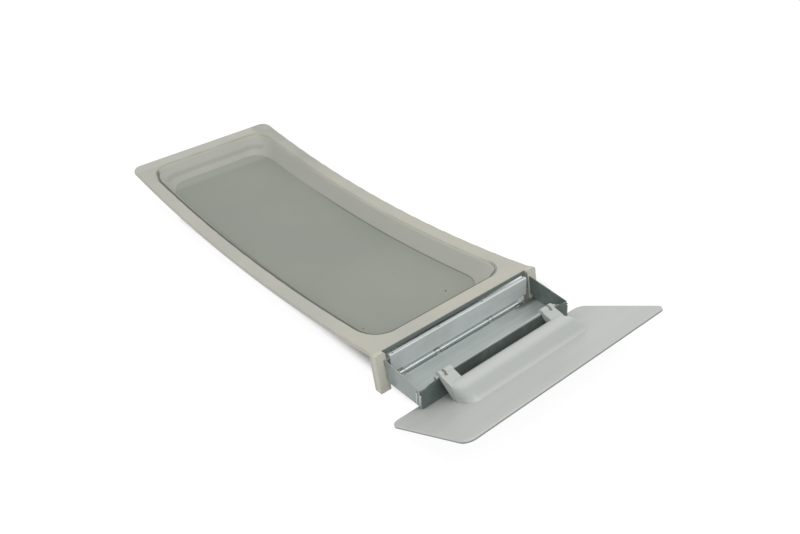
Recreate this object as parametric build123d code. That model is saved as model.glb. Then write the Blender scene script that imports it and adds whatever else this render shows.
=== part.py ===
from build123d import *
import math
import os

# Dryer lint filter: a long curved screen in a moulded frame, with a folded steel tray,
# a hinged steel flap and a hinged plastic lid at its handle end.
# Millimetres, +Z up. The filter lies at rest on its pan and on the feet of its two end legs.
# The handle end points to -Y and the far end of the screen to +Y.

# Curved frame
screen_radius = 1358.0
far_length = 221.1
near_length = 203.1
frame_width = 170.0
rim_thickness = 3.0
rim_edge_radius = 1.3
far_corner_radius = 10.0
side_rim = 14.5
far_rim = 13.5
near_rim = 15.4

# Sloped pan walls of the frame, the mesh that floors them, and the skirt below
pan_depth = 17.0
mesh_depth = 16.4
mesh_thickness = 0.9
side_run = 11.85
near_run = 18.0
far_run = 19.0
pan_wall = 2.6
skirt_wall = 1.2
mesh_ledge = 1.6
wall_corner_radius = 28.0
foot_corner_radius = 20.0
opening_edge_radius = 5.0

# End flange and legs
bar_height = 4.0
bar_thickness = 3.0
leg_proud = 1.3
leg_rise = 0.7
leg_width = 9.7
leg_ahead = 4.0
leg_corner_radius = 2.6
throat_corner_radius = 4.0
lug_length = 5.0
lug_height = 6.0
lug_depth = 2.2
lug_level = 11.0

# Folded steel tray
steel_thickness = 0.8
tray_lap = 2.4
tray_length = 40.5
floor_level = 7.0
wall_back_height = 20.0
wall_front_height = 15.5
bend_radius = 0.6
bead_height = 19.2
bead_radius = 1.4
bead_past_hook = 3.5
tab_width = 5.0
tab_length = 5.0
upper_tab_drop = 9.0
lower_tab_drop = 21.0
tab_clearance = 0.15
leg_gap = 0.05

# Flap hinge
rod_radius = 1.0
rod_past_knuckle = 2.0
barrel_clearance = 0.05
knuckle_width = 4.0
knuckle_inner = 29.0
knuckle_from_end = 8.5
knuckle_gap = 0.6
floor_gap = 0.5
rod_inset = 0.2

# Flap
flap_side_gap = 3.1
flap_height = 20.0
flap_lean_angle = 2.0
hem_depth = 3.0
hem_hole_radius = 0.8
hem_hole_inner = 23.5
hem_hole_from_end = 3.5
notch_height = 3.6
flap_stop_gap = 0.25

# Lid
lid_width = 206.5
lid_depth = 91.0
lid_thickness = 1.8
lid_lip_height = 0.4
lid_lip_width = 2.0
lid_corner_radius = 8.0
lid_edge_radius = 0.7
lid_tilt_angle = 28.3
pivot_from_back = 16.3
lid_stop_gap = 0.2

# Grip of the lid, a long hollow bulge
grip_half_length = 63.0
grip_height = 12.5
grip_crest = 27.0
grip_front_foot = 51.0
grip_back_foot = 24.7
grip_back_edge = 19.8
grip_back_height = 9.0
grip_wall = 2.4
grip_front_wall = 2.9
grip_back_wall = 2.6
grip_end_run = 11.0
grip_end_shares = (0.0, 0.3, 0.48, 0.62, 0.74, 0.83, 0.9, 0.95, 0.985)
grip_back_radius = 3.0

# Hooks that hold the lid on the tray's bead
hook_wall = 2.0
hook_clearance = 0.06
hook_width = 12.5
hook_from_end = 2.5
hook_slot_width = 2.4
hook_prong_width = 3.2
hook_slot_drop = 1.0
mouth_start_angle = 149.0
mouth_end_angle = 284.0

# A length that reaches past any piece, for cutting tools
beyond = 2.0 * (far_length + near_length)

# Widths that follow one from another, from the frame inwards
leg_outer = frame_width / 2 + leg_proud
leg_inner = leg_outer - leg_width
tray_half_width = leg_inner + tray_lap
flap_half_width = leg_inner - flap_side_gap
hem_hole_outer = flap_half_width - hem_hole_from_end
knuckle_outer = flap_half_width - knuckle_from_end
rod_half_length = knuckle_outer + knuckle_width / 2 + rod_past_knuckle
hook_outer = grip_half_length - hook_from_end
hook_inner = hook_outer - hook_width
bead_half_length = hook_outer + bead_past_hook
tab_drops = (upper_tab_drop, lower_tab_drop)

# Places that follow from the sizes
axis_height = screen_radius + pan_depth
near_angle = -near_length / screen_radius
far_angle = far_length / screen_radius


def on_curve(along, depth):
    """Point of the middle plane at a length along the rim and a depth below its top face."""
    angle = along / screen_radius
    radius = screen_radius + depth
    return Vector(0, radius * math.sin(angle), axis_height - radius * math.cos(angle))


def sweep_curve(section, start_angle, end_angle):
    """Turn a section, drawn at the lowest line, about the axis of the curve."""
    axis = Axis((0, 0, axis_height), (1, 0, 0))
    first = section.rotate(axis, math.degrees(start_angle))
    return revolve(first, axis, revolution_arc=math.degrees(end_angle - start_angle))


def curve_depth(point):
    """Depth of a point below the rim's top face."""
    return math.hypot(point.Y, axis_height - point.Z) - screen_radius


def section_face(corners):
    """Flat face in the plane Y = 0 from (x, z) corners."""
    outline = Polyline([Vector(x, 0, z) for x, z in corners], close=True)
    return make_face(outline)


def prism(corners, half_length, middle=0.0):
    """Straight bar along X from (y, z) corners, as long each way from its middle."""
    outline = Polyline([Vector(middle, y, z) for y, z in corners], close=True)
    return extrude(make_face(outline), half_length, dir=(1, 0, 0), both=True)


def ring(outer_radius, inner_radius, half_length, middle=0.0):
    """Tube along X about the origin."""
    plane = Plane(origin=(middle, 0, 0), x_dir=(0, 1, 0), z_dir=(1, 0, 0))
    face = plane * (Circle(outer_radius) - Circle(inner_radius))
    return extrude(face, half_length, both=True)


def round_bar(radius, half_length, middle=0.0):
    """Solid round bar along X about the origin."""
    plane = Plane(origin=(middle, 0, 0), x_dir=(0, 1, 0), z_dir=(1, 0, 0))
    return extrude(plane * Circle(radius), half_length, both=True)


# The plane of the handle end, with x along X, y up the flange and z out of the end
near_end = on_curve(-near_length, 0)
flange_up = Vector(0, -math.sin(near_angle), math.cos(near_angle))
flange_out = Vector(0, -math.cos(near_angle), -math.sin(near_angle))
end_plane = Plane(origin=near_end, x_dir=(1, 0, 0), z_dir=flange_out)
leg_length = near_end.Z / flange_up.Z + pan_depth

# The tray's corner where its floor meets the legs, and its front bottom corner
leg_face = near_end + flange_out * (leg_ahead + leg_gap)
tray_back_y = leg_face.Y - (leg_face.Z - floor_level) * flange_up.Y / flange_up.Z
tray_front_y = tray_back_y - tray_length
front_corner = Vector(0, tray_front_y, floor_level)
front_inward = Vector(0, flange_up.Z, -flange_up.Y)

# Flap hinge: the knuckles curl up from the tray's floor
barrel_radius = rod_radius + barrel_clearance + steel_thickness
rod_centre = Vector(0, tray_back_y + rod_inset, floor_level + barrel_radius)
flap_turn = Location(rod_centre, (-flap_lean_angle, 0, 0))

# Lid hinge: the bead along the top of the tray's front wall
pivot = front_corner + flange_up * bead_height + front_inward * (steel_thickness / 2)

# Lid directions: along it from back to front, and out of its top face
lid_along = Vector(0, -math.cos(math.radians(lid_tilt_angle)), math.sin(math.radians(lid_tilt_angle)))
lid_up = Vector(0, math.sin(math.radians(lid_tilt_angle)), math.cos(math.radians(lid_tilt_angle)))

# The lid stops against the rounded front bottom bend of the tray
outer_bend = bend_radius + steel_thickness
bend_centre_y = tray_front_y + outer_bend * (1 + flange_up.Y) / flange_up.Z
bend_centre = Vector(0, bend_centre_y, floor_level + outer_bend)
pivot_height = (pivot - bend_centre).dot(lid_up) + outer_bend + lid_stop_gap
lid_origin = pivot - lid_along * pivot_from_back - lid_up * pivot_height
lid_plane = Plane(origin=lid_origin, x_dir=(-1, 0, 0), z_dir=lid_up)


def bowl(grow, upper, lower, sloped):
    """Form inside the rim between two depths, grown by a wall, with sloped or square sides."""
    def share(depth):
        return depth / mesh_depth if sloped else 1.0

    def half_width(depth):
        return frame_width / 2 - side_rim - side_run * share(depth) + grow

    corners = [(-half_width(upper), pan_depth - upper), (half_width(upper), pan_depth - upper),
               (half_width(lower), pan_depth - lower), (-half_width(lower), pan_depth - lower)]
    form = sweep_curve(section_face(corners), near_angle, far_angle)
    ends = ((-near_length, near_rim, near_run, 1), (far_length, far_rim, far_run, -1))
    for end, flat, run, inward in ends:
        high = on_curve(end + inward * (flat + run * share(upper) - grow), upper)
        low = on_curve(end + inward * (flat + run * share(lower) - grow), lower)
        slope = low - high
        facing = Vector(0, -slope.Z, slope.Y) * inward
        form = split(form, bisect_by=Plane(origin=high, z_dir=facing), keep=Keep.TOP)
    upright = [edge for edge in form.edges() if edge.length < half_width(lower)]
    corner_radius = wall_corner_radius if sloped else foot_corner_radius
    return fillet(upright, corner_radius + grow)


def make_mesh_screen():
    """Fine mesh that floors the pan and follows the curve."""
    half = frame_width / 2
    low = pan_depth - mesh_depth
    high = low + mesh_thickness
    band = section_face([(-half, low), (half, low), (half, high), (-half, high)])
    return bowl(0, -rim_thickness, mesh_depth, True) & sweep_curve(band, near_angle, far_angle)


def make_screen_frame():
    """Moulded rim, pan walls and skirt with the end bar, two legs with feet, and lugs that stop the flap."""
    half = frame_width / 2
    low = pan_depth - rim_thickness
    rim = sweep_curve(section_face([(-half, low), (half, low), (half, pan_depth), (-half, pan_depth)]),
                      near_angle, far_angle)
    far_corners = [edge for edge in rim.edges() if edge.length < 2 * rim_thickness and (edge @ 0.5).Y > 0]
    rim = fillet(far_corners, far_corner_radius)
    top_edges = [edge for edge in rim.edges() if abs(curve_depth(edge @ 0.5)) < rim_thickness / 4]
    top_edges = [edge for edge in top_edges if (edge @ 0.5).Y > near_end.Y + near_rim / 2]
    rim = fillet(top_edges, rim_edge_radius)
    rim = rim + bowl(pan_wall, rim_thickness / 2, mesh_depth, True)
    rim += bowl(skirt_wall, mesh_depth - pan_wall, pan_depth, False)
    rim = rim - bowl(0, -rim_thickness, mesh_depth, True)
    rim -= bowl(-mesh_ledge, mesh_depth - mesh_thickness, pan_depth + mesh_thickness, False)

    # Soft edge where the rim turns down into the pan
    inner_half = half - side_rim / 2
    opening = [edge for edge in rim.edges() if abs(curve_depth(edge @ 0.5)) < rim_thickness / 4]
    opening = [edge for edge in opening if edge.bounding_box().max.X < inner_half
               and edge.bounding_box().min.X > -inner_half]
    opening = [edge for edge in opening if (edge @ 0.5).Y > near_end.Y + near_rim / 2
               and (edge @ 0.5).Y < on_curve(far_length - far_rim / 2, 0).Y]
    rim = fillet(opening, opening_edge_radius)

    # End bar over the throat, and the legs' back halves
    plate = Rectangle(2 * leg_outer, leg_length, align=(Align.CENTER, Align.MAX))
    plate = fillet(plate.vertices().group_by(Axis.Y)[-1], leg_corner_radius)
    throat_height = leg_length - bar_height
    throat = Rectangle(2 * leg_inner, 2 * throat_height, align=(Align.CENTER, Align.MAX))
    throat = Pos(0, -bar_height) * throat
    throat = fillet(throat.vertices().group_by(Axis.Y)[-1], throat_corner_radius)
    arch = plate - throat
    flange = extrude(end_plane * arch, -bar_thickness)

    body = rim + flange

    # The legs stand ahead of the bar, with rounded tops, and carry lugs behind the flap's ends
    for side in (-1, 1):
        post = Rectangle(leg_width, leg_length, align=(Align.CENTER, Align.MAX))
        post = fillet(post.vertices().group_by(Axis.Y)[-1], leg_corner_radius)
        post = Pos(side * (leg_outer - leg_width / 2), leg_rise) * post
        body += extrude(end_plane * post, leg_ahead)
        lug_middle = side * (leg_inner - lug_length / 2)
        lug = Pos(lug_middle, barrel_radius + flap_stop_gap + lug_depth / 2, lug_level)
        body += flap_turn * lug * Box(lug_length, lug_depth, lug_height)

        # Slots that the tray's tabs pass through
        for drop in tab_drops:
            slot = Pos(side * (tray_half_width - steel_thickness / 2), -drop, 0)
            slot_box = Box(steel_thickness + 2 * tab_clearance, tab_width + 2 * tab_clearance, 2 * leg_length)
            body -= Location(end_plane) * slot * slot_box

    # Feet cut level with the surface that the filter lies on
    below = Pos(0, near_end.Y, -beyond / 2) * Box(beyond, beyond, beyond)
    return body - below


def tray_block(inset, edge_radius):
    """Body of the tray's folds, with rounded bends, inset by the sheet."""
    high = near_end.Z
    back = tray_back_y if inset == 0 else tray_back_y + near_rim
    front_low = tray_front_y + inset * (1 + flange_up.Y) / flange_up.Z
    lean = flange_up.Y / flange_up.Z
    low = floor_level + inset
    corners = [(back, low), (front_low, low), (front_low + (high - low) * lean, high),
               (back + (high - low) * lean, high)]
    block = prism(corners, tray_half_width - inset)
    bends = [edge for edge in block.edges() if edge.length > 2 * steel_thickness]
    low_edges = [edge for edge in bends if abs((edge @ 0.5).Z - low) < steel_thickness / 4]
    low_edges = [edge for edge in low_edges if (edge @ 0.5).Y < back - steel_thickness]
    middle = (front_low + back) / 2
    upright = [edge for edge in bends if (edge @ 0.5).Y < middle and abs((edge % 0.5).Z) > 0.9]
    return fillet(low_edges + upright, edge_radius)


def make_tray():
    """One folded sheet: floor, side walls, front wall with a curled bead, knuckles and bent tabs."""
    tray = tray_block(0, outer_bend) - tray_block(steel_thickness, bend_radius)

    # Top edge of the side walls, lower towards the front
    back_top = floor_level + wall_back_height
    front_top = floor_level + wall_front_height
    fall = (back_top - front_top) / tray_length
    cut_back = tray_back_y + tray_length
    cut_front = tray_front_y - tray_length
    tray -= prism([(cut_back, back_top + fall * tray_length), (cut_front, front_top - fall * tray_length),
                   (cut_front, beyond), (cut_back, beyond)], beyond)

    # Front wall's raised middle with sloped shoulders, up to the bead
    wall_plane = Plane(origin=front_corner, x_dir=(1, 0, 0), z_dir=front_inward * -1)
    shoulder = tray_half_width - outer_bend
    shoulder_height = wall_front_height / flange_up.Z - steel_thickness
    panel = make_face(Polyline([(-shoulder, outer_bend), (shoulder, outer_bend), (shoulder, shoulder_height),
                                (bead_half_length, bead_height), (-bead_half_length, bead_height),
                                (-shoulder, shoulder_height)], close=True))
    tray += extrude(wall_plane * panel, -steel_thickness)
    bead = ring(bead_radius, bead_radius - steel_thickness, bead_half_length)
    core = Pos(pivot.X, pivot.Y, pivot.Z) * round_bar(bead_radius - steel_thickness, 2 * bead_half_length)
    tray = tray - core + Pos(pivot.X, pivot.Y, pivot.Z) * bead

    # Floor cut back ahead of the hinge, with the knuckles curled up from it
    hinge_half = knuckle_outer + knuckle_width
    floor_end = rod_centre.Y - barrel_radius - floor_gap
    tray -= prism([(floor_end, 0), (cut_back, 0), (cut_back, floor_level + 2 * steel_thickness),
                   (floor_end, floor_level + 2 * steel_thickness)], hinge_half)
    for place in (-knuckle_outer, -knuckle_inner, knuckle_inner, knuckle_outer):
        start = floor_end - steel_thickness
        top = floor_level + steel_thickness
        tongue = prism([(start, floor_level), (rod_centre.Y, floor_level), (rod_centre.Y, top), (start, top)],
                       knuckle_width / 2, place)
        curl = ring(barrel_radius, rod_radius + barrel_clearance, knuckle_width / 2, place)
        bore = round_bar(rod_radius + barrel_clearance, knuckle_width, place)
        tray += tongue + Pos(0, rod_centre.Y, rod_centre.Z) * curl
        tray -= Pos(0, rod_centre.Y, rod_centre.Z) * bore

    # Tabs through the legs, bent outwards behind them
    tab_back = bar_thickness + leg_gap
    run = leg_ahead + tab_back + steel_thickness + outer_bend
    for side in (-1, 1):
        for drop in tab_drops:
            stem = Pos(side * (tray_half_width - steel_thickness / 2), -drop,
                       leg_ahead + outer_bend - run / 2) * Box(steel_thickness, tab_width, run)
            foot_length = tab_length + steel_thickness
            foot = Pos(side * (tray_half_width - steel_thickness + foot_length / 2), -drop,
                       -tab_back - steel_thickness / 2) * Box(foot_length, tab_width, steel_thickness)
            tray += Location(end_plane) * (stem + foot)
    return tray


def make_hinge_rod():
    """Straight wire that the flap swings on."""
    rod = round_bar(rod_radius, rod_half_length)
    rod = chamfer(rod.edges().filter_by(GeomType.CIRCLE), rod_radius / 4)
    return Pos(0, rod_centre.Y, rod_centre.Z) * rod


def make_flap():
    """Steel flap with a folded hem on top and barrels curled round the rod below."""
    face_front = barrel_radius - steel_thickness
    sheet = prism([(face_front, 0), (barrel_radius, 0), (barrel_radius, flap_height),
                   (face_front, flap_height)], flap_half_width)
    hem_back = face_front + hem_depth
    hem_low = flap_height - steel_thickness
    hem = prism([(face_front, hem_low), (hem_back, hem_low), (hem_back, flap_height),
                 (face_front, flap_height)], flap_half_width)
    flap = sheet + hem
    bend = [edge for edge in flap.edges().filter_by(Axis.X)
            if abs((edge @ 0.5).Y - face_front) < steel_thickness / 4 and (edge @ 0.5).Z > flap_height / 2]
    flap = fillet(bend, steel_thickness)
    for place in (-hem_hole_outer, -hem_hole_inner, hem_hole_inner, hem_hole_outer):
        hole = Pos(place, face_front + hem_depth / 2 + steel_thickness / 2, flap_height)
        flap -= hole * Cylinder(hem_hole_radius, 4 * steel_thickness)

    # Barrels between the tray's knuckles, and notches below the flap's ends
    barrel_ends = knuckle_width / 2 + knuckle_gap
    spans = ((-knuckle_outer + barrel_ends, -knuckle_inner - barrel_ends),
             (-knuckle_inner + barrel_ends, knuckle_inner - barrel_ends),
             (knuckle_inner + barrel_ends, knuckle_outer - barrel_ends))
    for start, end in spans:
        flap += ring(barrel_radius, rod_radius + barrel_clearance, (end - start) / 2, (start + end) / 2)
    clear_bottom = barrel_radius + knuckle_gap
    for place in (-knuckle_inner, knuckle_inner):
        flap -= Pos(place, barrel_radius, 0) * Box(2 * barrel_ends, 2 * barrel_radius, 2 * clear_bottom)
    for side in (-1, 1):
        end_width = flap_half_width - knuckle_outer + barrel_ends
        notch = Pos(side * (flap_half_width - end_width / 2), barrel_radius, 0)
        flap -= notch * Box(end_width, 2 * barrel_radius, 2 * notch_height)
    return flap_turn * flap


def dome_share(share):
    """How much of the section is left at a share of the dome's length, for a squarish dome."""
    return (1 - share ** 3) ** (1 / 3)


def grip_form(wall, floor):
    """Long bulge with domed ends, inset by its wall and carried down below the plate's top."""
    back = Vector(grip_back_edge + wall, grip_back_height - wall / 3)
    foot_place = grip_back_foot + grip_back_wall * wall / grip_wall
    foot = Vector(foot_place + (foot_place - back.X) * floor / back.Y, -floor)
    front = Vector(grip_front_foot - grip_front_wall * wall / grip_wall, -floor)
    crest = Vector(grip_crest, grip_height - wall)

    # The section is drawn about the middle of its foot
    middle = (front + foot) / 2
    rise = TangentArc([crest - middle, front - middle], tangent=(1, 0))
    turn = TangentArc([crest - middle, back - middle], tangent=(-1, 0))
    section = make_face([rise, turn, Polyline([back - middle, foot - middle, front - middle])])
    section = fillet(section.vertices().sort_by(Axis.X)[0], grip_back_radius)
    half = grip_half_length - wall
    straight = grip_half_length - grip_end_run

    # Straight along its length, and each end closes as a dome over the middle of the foot
    form = extrude(Plane(origin=(0, middle.X, middle.Y), x_dir=(0, 1, 0), z_dir=(1, 0, 0)) * section,
                   straight, both=True)
    for side in (-1, 1):
        slices = []
        for share in grip_end_shares:
            place = side * (straight + share * (half - straight))
            plane = Plane(origin=(place, middle.X, middle.Y), x_dir=(0, 1, 0), z_dir=(1, 0, 0))
            slices.append(plane * scale(section, by=dome_share(share)))
        form += loft(slices, ruled=True)
    return form


def hook_profile():
    """Ear seen along the hinge: a hook round the bead, on a web that rises from the lid and the grip."""
    outer = bead_radius + hook_clearance + hook_wall
    centre = (pivot_from_back, pivot_height)
    throat = math.radians(mouth_end_angle)
    heel = (centre[0] + outer * math.cos(throat), centre[1] + outer * math.sin(throat))
    root = -lid_thickness / 2
    web = Polyline([heel, (grip_back_foot, root), (grip_front_foot / 2 + grip_crest / 2, root),
                    (grip_crest, grip_height - grip_wall / 2), (centre[0] + outer, centre[1]), centre],
                   close=True)
    return make_face(web) + Pos(*centre) * Circle(outer)


def mouth_profile():
    """Wedge that the tray's front wall sweeps through as the lid swings."""
    centre = (pivot_from_back, pivot_height)
    reach = 2 * grip_height
    middle = (mouth_start_angle + mouth_end_angle) / 2
    points = [centre]
    for degrees in (mouth_start_angle, middle, mouth_end_angle):
        angle = math.radians(degrees)
        points.append((centre[0] + reach * math.cos(angle), centre[1] + reach * math.sin(angle)))
    return make_face(Polyline(points, close=True))


def make_lid():
    """Plastic lid: a plate with a lip below, a hollow grip and two hooks, one moulding."""
    plate = Pos(0, lid_depth / 2) * Rectangle(lid_width, lid_depth)
    outline = fillet(plate.vertices(), lid_corner_radius)
    lid = extrude(outline, -(lid_thickness + lid_lip_height))
    lid = fillet(lid.faces().sort_by(Axis.Z)[-1].edges(), lid_edge_radius)
    recess = offset(outline, -lid_lip_width)
    lid -= extrude(Pos(0, 0, -lid_thickness) * recess, -2 * lid_lip_height)
    lid += grip_form(0, lid_thickness / 2)

    # Ears at both ends of the grip, each with a forked hook
    ear_half = hook_width / 2
    bore = Plane.YZ * (Pos(pivot_from_back, pivot_height) * Circle(bead_radius + hook_clearance))
    mouth = Plane.YZ * mouth_profile()
    fork = Rectangle(2 * grip_crest, 2 * grip_height, align=(Align.CENTER, Align.MIN))
    fork = Pos(pivot_from_back, pivot_height - hook_slot_drop) * fork
    for side in (-1, 1):
        middle = Pos(side * (hook_inner + ear_half), 0, 0)
        ear = extrude(Plane.YZ * hook_profile(), ear_half, both=True)
        ear -= extrude(bore, grip_half_length, both=True) + extrude(mouth, grip_half_length, both=True)
        ear = middle * ear
        slot_middle = hook_outer - hook_prong_width - hook_slot_width / 2
        ear -= Pos(side * slot_middle, 0, 0) * extrude(Plane.YZ * fork, hook_slot_width / 2, both=True)
        lid += ear
    lid -= grip_form(grip_wall, lid_thickness + 2 * lid_lip_height)
    return Location(lid_plane) * lid


nodes = {
    "screen_frame": make_screen_frame(),
    "mesh_screen": make_mesh_screen(),
    "steel_tray": make_tray(),
    "hinge_rod": make_hinge_rod(),
    "flap": make_flap(),
    "lid": make_lid(),
}

# The origin is below the middle of the whole filter, on the surface that it lies on
boxes = [node.bounding_box() for node in nodes.values()]
middle_y = (min(box.min.Y for box in boxes) + max(box.max.Y for box in boxes)) / 2
to_origin = Pos(0, -middle_y, 0)

os.makedirs("parts", exist_ok=True)
for name, node in nodes.items():
    export_step(to_origin * node, os.path.join("parts", name + ".step"))

print("rod axis at y", round(rod_centre.Y - middle_y, 4), "z", round(rod_centre.Z, 4))
print("lid axis at y", round(pivot.Y - middle_y, 4), "z", round(pivot.Z, 4))
print("curve axis at y", round(-middle_y, 4), "z", round(axis_height, 4))
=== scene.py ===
import math

import bmesh
import bpy
from mathutils import Matrix, Vector


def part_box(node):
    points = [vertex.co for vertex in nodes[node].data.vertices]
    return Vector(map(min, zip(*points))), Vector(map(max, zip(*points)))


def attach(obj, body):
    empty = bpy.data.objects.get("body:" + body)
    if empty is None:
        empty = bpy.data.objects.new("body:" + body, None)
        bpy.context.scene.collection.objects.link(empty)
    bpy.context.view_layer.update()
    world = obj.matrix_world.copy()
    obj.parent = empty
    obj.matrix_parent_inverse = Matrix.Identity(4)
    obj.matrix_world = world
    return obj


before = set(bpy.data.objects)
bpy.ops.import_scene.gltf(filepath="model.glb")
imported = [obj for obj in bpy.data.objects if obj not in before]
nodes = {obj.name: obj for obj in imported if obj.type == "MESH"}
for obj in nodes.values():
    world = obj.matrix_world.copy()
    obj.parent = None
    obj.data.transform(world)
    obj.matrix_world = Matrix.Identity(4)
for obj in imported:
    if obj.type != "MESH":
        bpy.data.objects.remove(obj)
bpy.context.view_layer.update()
frame_body = "frame_and_tray"

# The screen's curve: its axis runs along X, and depth is measured from the rim's top face, metres
curve_axis = Vector((0.0, 0.05106, 1.375))
curve_radius = 1.358
mesh_top_depth = 0.0155
near_end_along = -0.2031
far_end_along = 0.2211

# The lid's upward direction, and how far along it the plate's top face lies
lid_up = Vector((0.0, 0.4741, 0.8805))
lid_plate_level = -0.0881

# The lid's direction towards the tray, and how far along it the grip's back lies
lid_back = Vector((0.0, 0.8805, -0.4741))
grip_back_level = -0.1955

# The two hinge axes run along X: the wire, and the bead on the tray's front wall
wire_axis = Vector((0.0, -0.15897, 0.00885))
bead_axis = Vector((0.0, -0.19641, 0.02593))

# Camera of the photograph: place and directions in the part's frame
camera_place = Vector((-0.34959, -0.53171, 0.41823))
camera_right = Vector((0.7678, -0.6387, -0.0510))
camera_up = Vector((0.3883, 0.4006, 0.8299))
camera_lens = 36.52
camera_nearest = 0.01
sensor_width = 36.0

# Studio: a small lamp just left of the camera, a broad one above, and a white room
key_place = Vector((-0.485, -0.60, 0.42))
key_size = 0.10
key_power = 0.58
top_place = Vector((0.0, -0.55, 1.2))
top_size = 0.9
top_power = 5.0
room_light = 0.75
plain_white = 1.0

# White floor, and the parts of it under and behind the filter that don't glow: left, right, near and far
floor_span = 6.0
floor_white = 0.9
floor_glow = 0.85
glow_strength = 1.08
footprint_edge = 0.012
footprints = ((-0.066, 0.090, -0.186, 0.20), (0.040, 0.116, -0.160, -0.080))

# Ribs pressed into the tray's front corners
rib_height = 0.0105
rib_width = 0.0014
rib_proud = 0.0005
rib_above_floor = 0.0018
rib_places = (0.0022, 0.0060)
rib_bevel = 0.8 * rib_proud
rib_bevel_segments = 3
dimple_radius = 0.0006
dimple_rise = 0.0012
dimple_flatness = 0.25
dimple_segments = 16
dimple_rings = 8

# Dark specks caught in the mesh: across, along the curve, and radius
specks = ((0.0292, -0.1551, 0.0008), (-0.0545, -0.1471, 0.0006),
          (0.018, -0.098, 0.0004), (-0.031, 0.061, 0.0004))
speck_shape = (1.0, 1.3, 0.35, 1.0)
speck_subdivisions = 2

# A pair of places says where a mark starts to show and where it is full, in metres.
# Across is X from the middle, along is length on the curve, depth is down from the rim's top face.
# Height is Z and back is Y, or the lid's own directions on the lid. Reach is measured from a hinge axis.

# Frame plastic: cream, yellowed on the right and near sides
cream_dark = (0.425, 0.427, 0.378)
cream_light = (0.463, 0.460, 0.405)
cream_clouds = {"Scale": 16.0, "Low": 0.35, "High": 0.7}
cream_wear = {"Scale": 60.0, "Low": 0.3, "High": 0.75}
cream_roughness = (0.42, 0.58)
cream_grain = 1400.0
cream_grain_strength = 0.12
yellowed = (0.485, 0.465, 0.385)
yellowed_across = (-0.03, 0.07)
yellowed_along = (-0.12, -0.19)
yellowed_clouds = {"Scale": 26.0, "Low": 0.36, "High": 0.66}
yellowed_share = 0.7

# Frame plastic: the far rim is paler, and the right rim's far half is a darker grey
far_rim_pale = (0.50, 0.505, 0.47)
far_rim_along = (far_end_along - 0.0135, far_end_along - 0.0120)
far_rim_share = 0.5
rim_grey = (0.345, 0.355, 0.32)
rim_grey_inner = (0.060, 0.068)
rim_grey_outer = (0.0845, 0.0820)
rim_grey_along = (0.06, 0.12)
rim_grey_shares = (0.35, 0.8)

# Frame plastic: the pan's walls, inside the rim
pan_across = (0.0785, 0.0775)
pan_near = (near_end_along + 0.005, near_end_along + 0.007)
pan_far = (far_end_along - 0.007, far_end_along - 0.009)
wall_grey = (0.40, 0.41, 0.363)
wall_depth = (0.0006, 0.0032)
wall_share = 0.85

# Frame plastic: a thin tan line along the walls' top edge, and painted shade along it on the left and
# near sides
edge_clouds = {"Scale": 40.0, "Low": 0.25, "High": 0.6}
edge_tan = (0.29, 0.27, 0.19)
thin_line = {"Level": 0.0008, "Half": 0.0001, "Soft": 0.0004}
thin_line_share = 0.5
rim_edge_shade = (0.115, 0.12, 0.095)
broad_line = {"Level": 0.0016, "Half": 0.0010, "Soft": 0.0004}
broad_line_across = (-0.06, -0.066)
broad_line_along = (-0.180, -0.184)
broad_line_share = 0.95

# Frame plastic: painted shade in the dark line where the rim turns down, which is weaker at the right
# corner
turn_shade = (0.06, 0.065, 0.05)
turn_start = (0.00002, 0.00008)
turn_end = (0.0013, 0.0007)
turn_left_across = (-0.056, -0.062)
turn_left_along = (0.192, 0.178)
turn_near_along = (-0.162, -0.176)
turn_right_corner = (0.040, 0.066)
turn_right_shares = (1.0, 0.45)
turn_share = 0.9

# Frame plastic: dirt at the walls' foot, on the left and on the right
foot_dirt = (0.10, 0.105, 0.085)
foot_depth = (mesh_top_depth - 0.0010, mesh_top_depth - 0.0003)
foot_left_across = (0.0, -0.01)
foot_left_along = (0.18, 0.165)
foot_right_across = (-0.01, 0.0)
foot_right_along = (0.12, 0.03)
foot_right_share = 0.65

# Frame plastic: a soft stripe of painted shade and a yellow top line on the far wall
far_wall_along = (0.186, 0.190)
stripe_shade = (0.30, 0.31, 0.27)
stripe_line = {"Level": 0.0096, "Half": 0.0006, "Soft": 0.0020}
stripe_share = 0.55
top_yellow = (0.36, 0.34, 0.25)
top_line = {"Level": 0.0006, "Half": 0.0003, "Soft": 0.0004}
top_line_share = 0.6

# Frame plastic: pale legs with brown feet, and painted shade in the gap behind the flap
leg_pale = (0.53, 0.52, 0.455)
leg_along = (near_end_along + 0.0006, near_end_along - 0.0006)
leg_share = 0.8
foot_brown = (0.36, 0.33, 0.24)
foot_brown_height = (0.02, 0.002)
foot_brown_along = (-0.198, -0.204)
foot_brown_share = 0.45
gap_shade = (0.105, 0.14, 0.13)
gap_across = (0.0768, 0.0764)
gap_along = (near_end_along + 0.0008, near_end_along + 0.0003)
gap_depth = (0.0003, 0.0009)
gap_share = 0.9

# Mesh: clouds, a far end made paler by painted light, a dirty border and the weave
mesh_dark = (0.258, 0.28, 0.244)
mesh_light = (0.295, 0.313, 0.27)
mesh_clouds = {"Scale": 7.0, "Low": 0.3, "High": 0.7}
mesh_roughness = (0.5, 0.65)
mesh_far_light = (0.365, 0.385, 0.343)
mesh_far_along = (0.173, 0.181)
mesh_far_share = 0.6
mesh_border_across = (0.0581, 0.0592)
mesh_border_along = (0.14, 0.03)
mesh_border_share = 0.55
thread_pitch = 0.0007
thread_strength = 0.25

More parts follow.
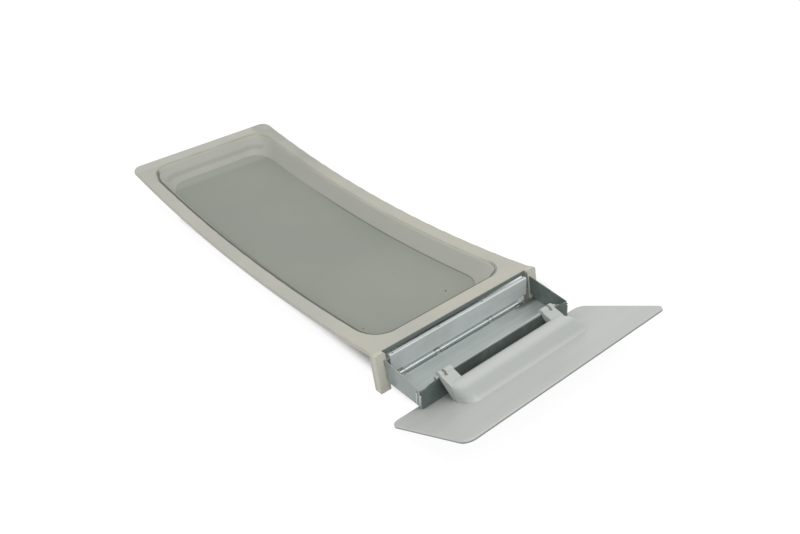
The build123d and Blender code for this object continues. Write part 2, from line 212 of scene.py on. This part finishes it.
# Steel: colours of the tray, flap and wire, their share of metal, and the streaks from rolling
tray_light = (0.47, 0.51, 0.50)
tray_dark = (0.38, 0.42, 0.415)
tray_metal = 0.45
flap_light = (0.74, 0.78, 0.77)
flap_dark = (0.64, 0.68, 0.675)
flap_metal = 0.25
wire_light = (0.62, 0.64, 0.63)
wire_dark = (0.52, 0.55, 0.55)
wire_metal = 0.6
sheet_streaks = {"Stretch": (5.0, 150.0, 60.0), "Scale": 1.0, "Low": 0.3, "High": 0.7}
wire_streaks = {"Stretch": (20.0, 400.0, 400.0), "Scale": 1.0, "Low": 0.3, "High": 0.7}
streak_strength = 0.08
spangle_grey = (0.50, 0.53, 0.51)
spangle_clouds = {"Scale": 55.0, "Low": 0.35, "High": 0.7}
spangle_share = 0.35
steel_roughness = (0.38, 0.54)

# Steel: knuckles and barrels, which the wire keeps bright
worn_bright = (0.68, 0.72, 0.72)
worn_reach = (0.0021, 0.0019)
worn_share = 0.8
worn_metal = 0.95
worn_smoothing = 0.2

# Tray: painted shade and dark reflections on the walls, a stain and painted shade on the floor, and a
# bead painted bright as a highlight and as wear
tray_wall_shade = (0.105, 0.135, 0.125)
tray_wall_shade_clouds = {"Scale": 45.0, "Low": 0.2, "High": 0.65}
tray_wall_shade_shares = (0.55, 0.9)
right_wall_across = (0.0770, 0.0778)
left_wall_across = (-0.0770, -0.0778)
left_wall_share = 0.45
front_wall_lean = 0.151
front_wall_place = (-0.1993, -0.1998)
tray_floor_height = (0.0088, 0.0084)
floor_stain = (0.27, 0.28, 0.245)
floor_stain_across = (0.030, 0.055)
floor_stain_share = 0.4
tray_floor_shade = (0.085, 0.10, 0.095)
tray_floor_shade_across = (0.050, 0.064)
tray_floor_shade_back = (-0.168, -0.163)
tray_floor_shade_share = 0.85
bead_highlight_and_wear = (0.60, 0.64, 0.63)
bead_reach = (0.0017, 0.0015)
bead_share = 0.45

# Flap: painted shade below its flat face and on top of its hem
flap_low_shade = (0.30, 0.34, 0.33)
flap_low_height = (0.0122, 0.0112)
flap_low_share = 0.75
hem_shade = (0.42, 0.46, 0.46)
hem_height = (0.0272, 0.0276)
hem_back = (-0.1568, -0.1562)
hem_share = 0.7

# Lid plastic: flow streaks, painted shade on the grip and a painted highlight on its crest, painted
# shade on the edge and underside, scuffs
lid_dark = (0.452, 0.474, 0.452)
lid_light = (0.482, 0.494, 0.466)
lid_flow = {"Stretch": (3.0, 26.0, 26.0), "Scale": 1.6, "Low": 0.3, "High": 0.7}
lid_roughness = (0.33, 0.37)
lid_grain = 1100.0
lid_grain_strength = 0.08
grip_shade = (0.35, 0.38, 0.37)
grip_height = (lid_plate_level + 0.001, lid_plate_level + 0.004)
grip_back = (grip_back_level + 0.001, grip_back_level - 0.001)
grip_share = 0.55
crest_highlight = (0.55, 0.57, 0.545)
crest_height = (lid_plate_level + 0.0078, lid_plate_level + 0.0112)
crest_share = 0.75
lid_edge_shade = (0.17, 0.18, 0.17)
lid_edge_height = (lid_plate_level - 0.0009, lid_plate_level - 0.0013)
lid_edge_share = 0.85
scuff_pale = (0.53, 0.54, 0.51)
scuff_clouds = {"Stretch": (1.0, 3.0, 3.0), "Scale": 70.0, "Low": 0.55, "High": 0.8}
scuff_share = 0.10

# Lint and grime
lint_dark = (0.035, 0.035, 0.03)
lint_light = (0.09, 0.085, 0.07)
lint_fuzz = {"Scale": 900.0, "Low": 0.3, "High": 0.7}
matt_roughness = 0.9

# Relief and noise
cloud_detail = 4.0
cloud_roughness = 0.55
unstretched = (1.0, 1.0, 1.0)
grain_detail = 2.0
grain_depth = 0.0003
weave_depth = 0.0002

# Factors that drop the X part of a place
without_x = (0.0, 1.0, 1.0)

# Places of the colour sockets on a Mix node
mix_share = 0
mix_first = 6
mix_second = 7
mix_result = 2


# Node helpers
def set_inputs(tree, node, inputs):
    """Give a node its plain values and its links."""
    for name, value in inputs.items():
        if isinstance(value, bpy.types.NodeSocket):
            tree.links.new(value, node.inputs[name])
        else:
            node.inputs[name].default_value = value


def add_node(tree, kind, inputs=None, **settings):
    """A shader node with its settings, its plain values and its links."""
    node = tree.nodes.new(kind)
    for name, value in settings.items():
        setattr(node, name, value)
    set_inputs(tree, node, inputs or {})
    return node


def new_group(name, inputs, outputs):
    """An empty node group with named sockets."""
    tree = bpy.data.node_groups.new(name, "ShaderNodeTree")
    for socket, kind, value in inputs:
        made = tree.interface.new_socket(socket, in_out="INPUT", socket_type=kind)
        if value is not None:
            made.default_value = value
    for socket, kind in outputs:
        tree.interface.new_socket(socket, in_out="OUTPUT", socket_type=kind)
    start = tree.nodes.new("NodeGroupInput")
    end = tree.nodes.new("NodeGroupOutput")
    return tree, start.outputs, end.inputs


def use_group(tree, name, **inputs):
    """One of the node groups, placed in a material."""
    node = tree.nodes.new("ShaderNodeGroup")
    node.node_tree = bpy.data.node_groups[name]
    set_inputs(tree, node, inputs)
    return node.outputs


def math_node(tree, operation, first, second=None):
    """Result of one sum on one or two values."""
    inputs = {0: first}
    if second is not None:
        inputs[1] = second
    return add_node(tree, "ShaderNodeMath", inputs, operation=operation).outputs[0]


def vector_node(tree, operation, first, second=None):
    """A node with one sum on one or two vectors."""
    inputs = {0: first}
    if second is not None:
        inputs[1] = second
    return add_node(tree, "ShaderNodeVectorMath", inputs, operation=operation)


def times(tree, *values):
    """Product of several values."""
    product = values[0]
    for value in values[1:]:
        product = math_node(tree, "MULTIPLY", product, value)
    return product


def highest(tree, *values):
    """Largest of several values."""
    largest = values[0]
    for value in values[1:]:
        largest = math_node(tree, "MAXIMUM", largest, value)
    return largest


def ramp(tree, value, places):
    """Smooth rise from 0 to 1 as a value goes from the first place to the second."""
    inputs = {"Value": value, "From Min": places[0], "From Max": places[1]}
    return add_node(tree, "ShaderNodeMapRange", inputs, interpolation_type="SMOOTHSTEP").outputs[0]


def between(tree, value, ends):
    """Plain scale from one end to the other as a value goes from 0 to 1."""
    inputs = {"Value": value, "To Min": ends[0], "To Max": ends[1]}
    return add_node(tree, "ShaderNodeMapRange", inputs).outputs[0]


def blend_colour(tree, share, first, second):
    """Mix of two colours by a share."""
    node = add_node(tree, "ShaderNodeMix", data_type="RGBA")
    tree.links.new(share, node.inputs[mix_share])
    for socket, value in ((node.inputs[mix_first], first), (node.inputs[mix_second], second)):
        if isinstance(value, bpy.types.NodeSocket):
            tree.links.new(value, socket)
        else:
            socket.default_value = (*value, 1.0)
    return node.outputs[mix_result]


def tint(tree, colour, mark, *shares):
    """A colour with a mark laid over it, as strong as the product of its shares."""
    return blend_colour(tree, times(tree, *shares), colour, mark)


def split_axes(tree, place):
    """The three coordinates of a place."""
    return add_node(tree, "ShaderNodeSeparateXYZ", {0: place}).outputs


def size_of(tree, value):
    """A value without its sign."""
    return math_node(tree, "ABSOLUTE", value)


def off_axis(tree, place, axis):
    """The way from an axis along X to a place, square to that axis."""
    apart = vector_node(tree, "SUBTRACT", place, axis)
    return vector_node(tree, "MULTIPLY", apart.outputs[0], without_x).outputs[0]


# Effects that several finishes share
def make_mottle():
    """Cloudy patches, as a mask, on coordinates that can be stretched."""
    sockets = (("Vector", "NodeSocketVector", None),
               ("Stretch", "NodeSocketVector", unstretched),
               ("Scale", "NodeSocketFloat", None),
               ("Low", "NodeSocketFloat", None),
               ("High", "NodeSocketFloat", None))
    tree, given, result = new_group("mottle", sockets, (("Mask", "NodeSocketFloat"),))
    stretched = vector_node(tree, "MULTIPLY", given["Vector"], given["Stretch"]).outputs[0]
    inputs = {"Vector": stretched, "Scale": given["Scale"], "Detail": cloud_detail,
              "Roughness": cloud_roughness}
    cloud = add_node(tree, "ShaderNodeTexNoise", inputs).outputs[0]
    tree.links.new(ramp(tree, cloud, (given["Low"], given["High"])), result["Mask"])


def make_line():
    """Soft line where a value passes a level, as a mask."""
    sockets = (("Value", "NodeSocketFloat", None),
               ("Level", "NodeSocketFloat", None),
               ("Half", "NodeSocketFloat", None),
               ("Soft", "NodeSocketFloat", None))
    tree, given, result = new_group("line", sockets, (("Mask", "NodeSocketFloat"),))
    apart = size_of(tree, math_node(tree, "SUBTRACT", given["Value"], given["Level"]))
    outside = math_node(tree, "ADD", given["Half"], given["Soft"])
    tree.links.new(ramp(tree, apart, (outside, given["Half"])), result["Mask"])


def make_curve_place():
    """Depth below the rim's top face, and length along the screen's curve."""
    results = (("Depth", "NodeSocketFloat"), ("Along", "NodeSocketFloat"))
    tree, given, result = new_group("curve_place", (("Vector", "NodeSocketVector", None),), results)
    flat = off_axis(tree, given["Vector"], curve_axis)
    reach = vector_node(tree, "LENGTH", flat).outputs["Value"]
    tree.links.new(math_node(tree, "SUBTRACT", reach, curve_radius), result["Depth"])
    parts = split_axes(tree, flat)
    down = math_node(tree, "MULTIPLY", parts["Z"], -1.0)
    turn = math_node(tree, "ARCTAN2", parts["Y"], down)
    tree.links.new(math_node(tree, "MULTIPLY", turn, curve_radius), result["Along"])


def make_axis_distance():
    """Distance from an axis that runs along X."""
    sockets = (("Vector", "NodeSocketVector", None), ("Axis", "NodeSocketVector", None))
    tree, given, result = new_group("axis_distance", sockets, (("Distance", "NodeSocketFloat"),))
    flat = off_axis(tree, given["Vector"], given["Axis"])
    tree.links.new(vector_node(tree, "LENGTH", flat).outputs["Value"], result["Distance"])


make_mottle()
make_line()
make_curve_place()
make_axis_distance()


def mottle(tree, place, clouds):
    """Mask of cloudy patches."""
    return use_group(tree, "mottle", Vector=place, **clouds)["Mask"]


def line(tree, value, shape):
    """Mask of a soft line."""
    return use_group(tree, "line", Value=value, **shape)["Mask"]


def axis_distance(tree, place, axis):
    """Distance of a place from a hinge axis."""
    return use_group(tree, "axis_distance", Vector=place, Axis=axis)["Distance"]


# Finishes
def new_finish(name):
    """A material with its shader, and the place on the piece."""
    material = bpy.data.materials.new(name)
    material.use_nodes = True
    tree = material.node_tree
    shader = tree.nodes["Principled BSDF"]
    place = tree.nodes.new("ShaderNodeTexCoord").outputs["Object"]
    return material, tree, shader, place


def add_bump(tree, shader, height, strength, depth):
    """Fine relief on a finish."""
    inputs = {"Strength": strength, "Distance": depth, "Height": height}
    bump = add_node(tree, "ShaderNodeBump", inputs)
    tree.links.new(bump.outputs["Normal"], shader.inputs["Normal"])


def add_grain(tree, shader, place, scale, strength):
    """Moulded grain on a plastic."""
    inputs = {"Vector": place, "Scale": scale, "Detail": grain_detail}
    grain = add_node(tree, "ShaderNodeTexNoise", inputs)
    add_bump(tree, shader, grain.outputs[0], strength, grain_depth)


def make_frame_plastic():
    """Aged cream plastic: greyer pan walls, yellowed right and near sides, and painted shade at the
    edges, on the far wall and in the gap behind the flap.
    """
    material, tree, shader, place = new_finish("frame_plastic")
    where = use_group(tree, "curve_place", Vector=place)
    depth = where["Depth"]
    along = where["Along"]
    parts = split_axes(tree, place)
    across = parts["X"]
    colour = blend_colour(tree, mottle(tree, place, cream_clouds), cream_dark, cream_light)

    # Yellowed stains, most on the right and near sides
    yellow_sides = highest(tree, ramp(tree, across, yellowed_across), ramp(tree, along, yellowed_along))
    spread = mottle(tree, place, yellowed_clouds)
    colour = tint(tree, colour, yellowed, yellow_sides, spread, yellowed_share)

    # The far rim is paler, and the right rim's far half is a darker grey
    colour = tint(tree, colour, far_rim_pale, ramp(tree, along, far_rim_along), far_rim_share)
    colour = tint(tree, colour, rim_grey,
                  ramp(tree, across, rim_grey_inner),
                  ramp(tree, across, rim_grey_outer),
                  ramp(tree, along, rim_grey_along),
                  between(tree, spread, rim_grey_shares))

    # Inside the rim the pan's walls are greyer
    inside = times(tree,
                   ramp(tree, size_of(tree, across), pan_across),
                   ramp(tree, along, pan_near),
                   ramp(tree, along, pan_far))
    colour = tint(tree, colour, wall_grey, ramp(tree, depth, wall_depth), inside, wall_share)

    # A thin tan line along the walls' top edge, and painted shade along it on the left and near sides
    patchy = mottle(tree, place, edge_clouds)
    thin = line(tree, depth, thin_line)
    colour = tint(tree, colour, edge_tan, thin, patchy, inside, thin_line_share)
    shaded = highest(tree, ramp(tree, across, broad_line_across), ramp(tree, along, broad_line_along))
    broad = line(tree, depth, broad_line)
    colour = tint(tree, colour, rim_edge_shade, broad, shaded, inside, broad_line_share)

    # A thin dark line of painted shade where the rim turns down at the left and near sides
    turned = times(tree, ramp(tree, depth, turn_start), ramp(tree, depth, turn_end), inside)
    left_line = times(tree, ramp(tree, across, turn_left_across), ramp(tree, along, turn_left_along))
    corner = between(tree, ramp(tree, across, turn_right_corner), turn_right_shares)
    near_line = times(tree, ramp(tree, along, turn_near_along), corner)
    colour = tint(tree, colour, turn_shade, turned, highest(tree, left_line, near_line), turn_share)

    # Dirt at the walls' foot, which fades towards the far end
    left_fade = times(tree, ramp(tree, along, foot_left_along), ramp(tree, across, foot_left_across))
    right_fade = times(tree,
                       ramp(tree, along, foot_right_along),
                       ramp(tree, across, foot_right_across),
                       foot_right_share)
    fade = math_node(tree, "ADD", left_fade, right_fade)
    colour = tint(tree, colour, foot_dirt, ramp(tree, depth, foot_depth), fade, inside)

    # The far wall has a soft dark stripe of painted shade, and a yellow line along its top
    far_wall = times(tree, ramp(tree, along, far_wall_along), inside)
    stripe = line(tree, depth, stripe_line)
    colour = tint(tree, colour, stripe_shade, stripe, far_wall, stripe_share)
    top_edge = line(tree, depth, top_line)
    colour = tint(tree, colour, top_yellow, top_edge, far_wall, patchy, top_line_share)

    # The legs are paler, with brown marks towards the feet
    colour = tint(tree, colour, leg_pale, ramp(tree, along, leg_along), leg_share)
    colour = tint(tree, colour, foot_brown,
                  ramp(tree, parts["Z"], foot_brown_height),
                  ramp(tree, along, foot_brown_along),
                  spread, foot_brown_share)

    # Painted shade in the gap behind the flap, on the end bar's front and the lugs
    colour = tint(tree, colour, gap_shade,
                  ramp(tree, size_of(tree, across), gap_across),
                  ramp(tree, along, gap_along),
                  ramp(tree, depth, gap_depth),
                  gap_share)
    tree.links.new(colour, shader.inputs["Base Color"])

    rough = between(tree, mottle(tree, place, cream_wear), cream_roughness)
    tree.links.new(rough, shader.inputs["Roughness"])
    add_grain(tree, shader, place, cream_grain, cream_grain_strength)
    return material


def make_mesh_finish():
    """Fine grey-green mesh: a woven relief, soft clouds, a far end made paler by painted light, and dirt
    at its border.
    """
    material, tree, shader, place = new_finish("mesh")
    along = use_group(tree, "curve_place", Vector=place)["Along"]
    across = split_axes(tree, place)["X"]
    clouds = mottle(tree, place, mesh_clouds)
    colour = blend_colour(tree, clouds, mesh_dark, mesh_light)
    # Painted light: the far end, by the far wall, is paler
    colour = tint(tree, colour, mesh_far_light, ramp(tree, along, mesh_far_along), mesh_far_share)

    # Dark line of lint where it meets the walls
    border = ramp(tree, size_of(tree, across), mesh_border_across)
    fade = ramp(tree, along, mesh_border_along)
    colour = tint(tree, colour, foot_dirt, border, fade, mesh_border_share)
    tree.links.new(colour, shader.inputs["Base Color"])
    tree.links.new(between(tree, clouds, mesh_roughness), shader.inputs["Roughness"])

    # Threads across and along
    turns = 2 * math.pi / thread_pitch
    threads = []
    for value in (across, along):
        angle = math_node(tree, "MULTIPLY", value, turns)
        threads.append(math_node(tree, "SINE", angle))
    add_bump(tree, shader, times(tree, *threads), thread_strength, weave_depth)
    return material


def add_tray_shade_and_marks(tree, place, colour):
    """Painted shade and dark reflections on the tray's walls, least on its left one, and a stain,
    painted shade and a painted highlight on its floor and bead.
    """
    parts = split_axes(tree, place)
    # Painted shade and dark reflections darken the walls, least the left one
    right_wall = ramp(tree, parts["X"], right_wall_across)
    left_wall = times(tree, ramp(tree, parts["X"], left_wall_across), left_wall_share)
    lean = math_node(tree, "MULTIPLY", parts["Z"], front_wall_lean)
    front_wall = ramp(tree, math_node(tree, "SUBTRACT", parts["Y"], lean), front_wall_place)
    patches = mottle(tree, place, tray_wall_shade_clouds)
    walls = highest(tree, right_wall, left_wall, front_wall)
    colour = tint(tree, colour, tray_wall_shade, walls, between(tree, patches, tray_wall_shade_shares))

    # A dull stain at the floor's right end, and painted shade under the flap there
    floor = ramp(tree, parts["Z"], tray_floor_height)
    stained = ramp(tree, parts["X"], floor_stain_across)
    colour = tint(tree, colour, floor_stain, floor, stained, patches, floor_stain_share)
    colour = tint(tree, colour, tray_floor_shade, floor,
                  ramp(tree, parts["X"], tray_floor_shade_across),
                  ramp(tree, parts["Y"], tray_floor_shade_back),
                  tray_floor_shade_share)

    # The bead is painted bright, partly as a painted highlight and partly as wear from the hooks
    bead_band = ramp(tree, axis_distance(tree, place, bead_axis), bead_reach)
    return tint(tree, colour, bead_highlight_and_wear, bead_band, bead_share)


def add_flap_shade(tree, place, colour):
    """Painted shade below the flap's flat face and on top of its hem."""
    parts = split_axes(tree, place)
    # Painted shade below the flat face, around the barrels
    colour = tint(tree, colour, flap_low_shade, ramp(tree, parts["Z"], flap_low_height), flap_low_share)
    # Painted shade on top of the hem
    hem = times(tree, ramp(tree, parts["Z"], hem_height), ramp(tree, parts["Y"], hem_back))
    return tint(tree, colour, hem_shade, hem, hem_share)


def make_steel(name, light, dark, metal, streak_shape, add_marks=None):
    """Zinc-coated steel with long rolling streaks, cloudy spangle and bright hinge parts."""
    material, tree, shader, place = new_finish(name)
    streaks = mottle(tree, place, streak_shape)
    spangle = mottle(tree, place, spangle_clouds)
    colour = blend_colour(tree, streaks, dark, light)
    colour = tint(tree, colour, spangle_grey, spangle, spangle_share)
    if add_marks:
        colour = add_marks(tree, place, colour)

    # Knuckles and barrels are worn bright by the wire
    worn = ramp(tree, axis_distance(tree, place, wire_axis), worn_reach)
    colour = tint(tree, colour, worn_bright, worn, worn_share)
    tree.links.new(colour, shader.inputs["Base Color"])
    tree.links.new(between(tree, worn, (metal, worn_metal)), shader.inputs["Metallic"])
    rough = between(tree, spangle, steel_roughness)
    rough = math_node(tree, "SUBTRACT", rough, times(tree, worn, worn_smoothing))
    tree.links.new(rough, shader.inputs["Roughness"])
    add_bump(tree, shader, streaks, streak_strength, weave_depth)
    return material


def make_lid_plastic():
    """Cool grey plastic, satin, with faint flow streaks and scuffs, and painted shade and a painted
    highlight on the grip and edge.
    """
    material, tree, shader, place = new_finish("lid_plastic")
    colour = blend_colour(tree, mottle(tree, place, lid_flow), lid_dark, lid_light)
    height = vector_node(tree, "DOT_PRODUCT", place, lid_up).outputs["Value"]
    back = vector_node(tree, "DOT_PRODUCT", place, lid_back).outputs["Value"]

    # Painted shade darkens the grip, and a painted highlight makes its crest pale
    grip = times(tree, ramp(tree, height, grip_height), ramp(tree, back, grip_back))
    colour = tint(tree, colour, grip_shade, grip, grip_share)
    colour = tint(tree, colour, crest_highlight, grip, ramp(tree, height, crest_height), crest_share)

    # Painted shade darkens the plate's edge and underside
    colour = tint(tree, colour, lid_edge_shade, ramp(tree, height, lid_edge_height), lid_edge_share)

    scuffs = mottle(tree, place, scuff_clouds)
    colour = tint(tree, colour, scuff_pale, scuffs, scuff_share)
    tree.links.new(colour, shader.inputs["Base Color"])
    tree.links.new(between(tree, scuffs, lid_roughness), shader.inputs["Roughness"])
    add_grain(tree, shader, place, lid_grain, lid_grain_strength)
    return material


def make_lint():
    """Dark lint and grime."""
    material, tree, shader, place = new_finish("lint")
    colour = blend_colour(tree, mottle(tree, place, lint_fuzz), lint_dark, lint_light)
    tree.links.new(colour, shader.inputs["Base Color"])
    shader.inputs["Roughness"].default_value = matt_roughness
    return material


def dress(node, material):
    """Give a CAD node its finish."""
    node.data.materials.clear()
    node.data.materials.append(material)


tray_steel = make_steel("tray_steel", tray_light, tray_dark, tray_metal, sheet_streaks, add_tray_shade_and_marks)
flap_steel = make_steel("flap_steel", flap_light, flap_dark, flap_metal, sheet_streaks, add_flap_shade)
wire_steel = make_steel("wire_steel", wire_light, wire_dark, wire_metal, wire_streaks)
lint = make_lint()
dress(nodes["screen_frame"], make_frame_plastic())
dress(nodes["mesh_screen"], make_mesh_finish())
dress(nodes["steel_tray"], tray_steel)
dress(nodes["flap"], flap_steel)
dress(nodes["hinge_rod"], wire_steel)
dress(nodes["lid"], make_lid_plastic())


# Small pieces
def finish_piece(name, shape, material, body):
    """Turn a bmesh into a piece that rides on a body."""
    mesh = bpy.data.meshes.new(name)
    shape.to_mesh(mesh)
    shape.free()
    mesh.materials.append(material)
    for polygon in mesh.polygons:
        polygon.use_smooth = True
    piece = bpy.data.objects.new(name, mesh)
    bpy.context.scene.collection.objects.link(piece)
    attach(piece, body)


def side_wall_face():
    """Distance of the tray's side walls from the middle plane, read from its front half."""
    low, high = (Vector(corner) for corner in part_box("steel_tray"))
    middle = (low.y + high.y) / 2
    return max(vertex.co.x for vertex in nodes["steel_tray"].data.vertices if vertex.co.y < middle)


def add_corner_ribs():
    """Two short ribs pressed into each side wall beside the tray's front corner, each below a dimple."""
    low = Vector(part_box("steel_tray")[0])
    ribs = bmesh.new()
    dimples = bmesh.new()
    side_face = side_wall_face()
    rib_size = Matrix.Diagonal((2 * rib_proud, rib_width, rib_height, 1.0))
    dimple_size = Matrix.Diagonal((dimple_flatness, 1.0, 1.0, 1.0))
    for side in (-1, 1):
        for behind in rib_places:
            middle_height = low.z + rib_above_floor + rib_height / 2
            centre = Vector((side * side_face, low.y + behind, middle_height))
            block = bmesh.ops.create_cube(ribs, size=1.0)
            place = Matrix.Translation(centre) @ rib_size
            bmesh.ops.transform(ribs, matrix=place, verts=block["verts"])
            top = centre + Vector((0.0, 0.0, rib_height / 2 + dimple_rise))
            dot = bmesh.ops.create_uvsphere(dimples, u_segments=dimple_segments, v_segments=dimple_rings,
                                            radius=dimple_radius)
            place = Matrix.Translation(top) @ dimple_size
            bmesh.ops.transform(dimples, matrix=place, verts=dot["verts"])
    bmesh.ops.bevel(ribs, geom=ribs.edges, affect="EDGES", offset=rib_bevel, segments=rib_bevel_segments,
                    profile=0.5, material=-1)
    finish_piece("tray_corner_ribs", ribs, wire_steel, frame_body)
    finish_piece("tray_corner_dimples", dimples, lint, frame_body)


def add_specks():
    """Bits of lint caught on the mesh."""
    bits = bmesh.new()
    reach = curve_radius + mesh_top_depth
    for across, along, radius in specks:
        angle = along / curve_radius
        centre = curve_axis + Vector((across, reach * math.sin(angle), -reach * math.cos(angle)))
        ball = bmesh.ops.create_icosphere(bits, subdivisions=speck_subdivisions, radius=radius)
        place = Matrix.Translation(centre) @ Matrix.Diagonal(speck_shape)
        bmesh.ops.transform(bits, matrix=place, verts=ball["verts"])
    finish_piece("lint_specks", bits, lint, frame_body)


add_corner_ribs()
add_specks()


# Studio
def seen_rays(tree):
    """Mask of the rays that see the background: the camera's, and those that mirror or pass through."""
    rays = tree.nodes.new("ShaderNodeLightPath").outputs
    return highest(tree, rays["Is Camera Ray"], rays["Is Glossy Ray"], rays["Is Transmission Ray"])


def footprint_mask(tree, place):
    """Mask of the floor under and behind the filter."""
    parts = split_axes(tree, place)
    patches = []
    for left, right, near, far in footprints:
        patches.append(times(tree,
                             ramp(tree, parts["X"], (left - footprint_edge, left)),
                             ramp(tree, parts["X"], (right, right - footprint_edge)),
                             ramp(tree, parts["Y"], (near, near + footprint_edge)),
                             ramp(tree, parts["Y"], (far, far - footprint_edge))))
    return highest(tree, *patches)


def add_floor():
    """White floor that keeps the filter's shadow, and shows as white except right under the filter."""
    floor_shape = bmesh.new()
    bmesh.ops.create_grid(floor_shape, x_segments=1, y_segments=1, size=floor_span)
    mesh = bpy.data.meshes.new("floor")
    floor_shape.to_mesh(mesh)
    floor_shape.free()
    floor = bpy.data.objects.new("floor", mesh)
    bpy.context.scene.collection.objects.link(floor)
    material, tree, shader, place = new_finish("floor_white")
    shader.inputs["Base Color"].default_value = (floor_white, floor_white, floor_white, 1.0)
    shader.inputs["Roughness"].default_value = matt_roughness
    open_floor = math_node(tree, "SUBTRACT", 1.0, footprint_mask(tree, place))
    share = times(tree, seen_rays(tree), open_floor, floor_glow)
    glow = add_node(tree, "ShaderNodeEmission", {"Strength": glow_strength})
    mixed = add_node(tree, "ShaderNodeMixShader", {0: share, 1: shader.outputs[0], 2: glow.outputs[0]})
    tree.links.new(mixed.outputs[0], tree.nodes["Material Output"].inputs["Surface"])
    mesh.materials.append(material)


def add_lamp(name, place, size, power):
    """Soft square lamp that looks at the filter."""
    data = bpy.data.lights.new(name, "AREA")
    data.size = size
    data.energy = power
    lamp = bpy.data.objects.new(name, data)
    bpy.context.scene.collection.objects.link(lamp)
    lamp.location = place
    lamp.rotation_euler = (-place).to_track_quat("-Z", "Y").to_euler()


def add_room():
    """White room light, and plain white behind the filter."""
    world = bpy.data.worlds.new("studio")
    world.use_nodes = True
    tree = world.node_tree
    back = tree.nodes["Background"]
    back.inputs["Color"].default_value = (plain_white, plain_white, plain_white, 1.0)
    strength = between(tree, seen_rays(tree), (room_light, plain_white))
    tree.links.new(strength, back.inputs["Strength"])
    bpy.context.scene.world = world


def add_camera():
    """Camera at the photograph's viewing angle."""
    data = bpy.data.cameras.new("camera")
    data.sensor_width = sensor_width
    data.lens = camera_lens
    data.clip_start = camera_nearest
    camera = bpy.data.objects.new("camera", data)
    bpy.context.scene.collection.objects.link(camera)
    right = camera_right.normalized()
    up = (camera_up - right * camera_up.dot(right)).normalized()
    turn = Matrix((right, up, right.cross(up))).transposed().to_4x4()
    camera.matrix_world = Matrix.Translation(camera_place) @ turn
    bpy.context.scene.camera = camera


add_floor()
add_lamp("key", key_place, key_size, key_power)
add_lamp("top", top_place, top_size, top_power)
add_room()
add_camera()
bpy.context.scene.view_settings.view_transform = "Standard"
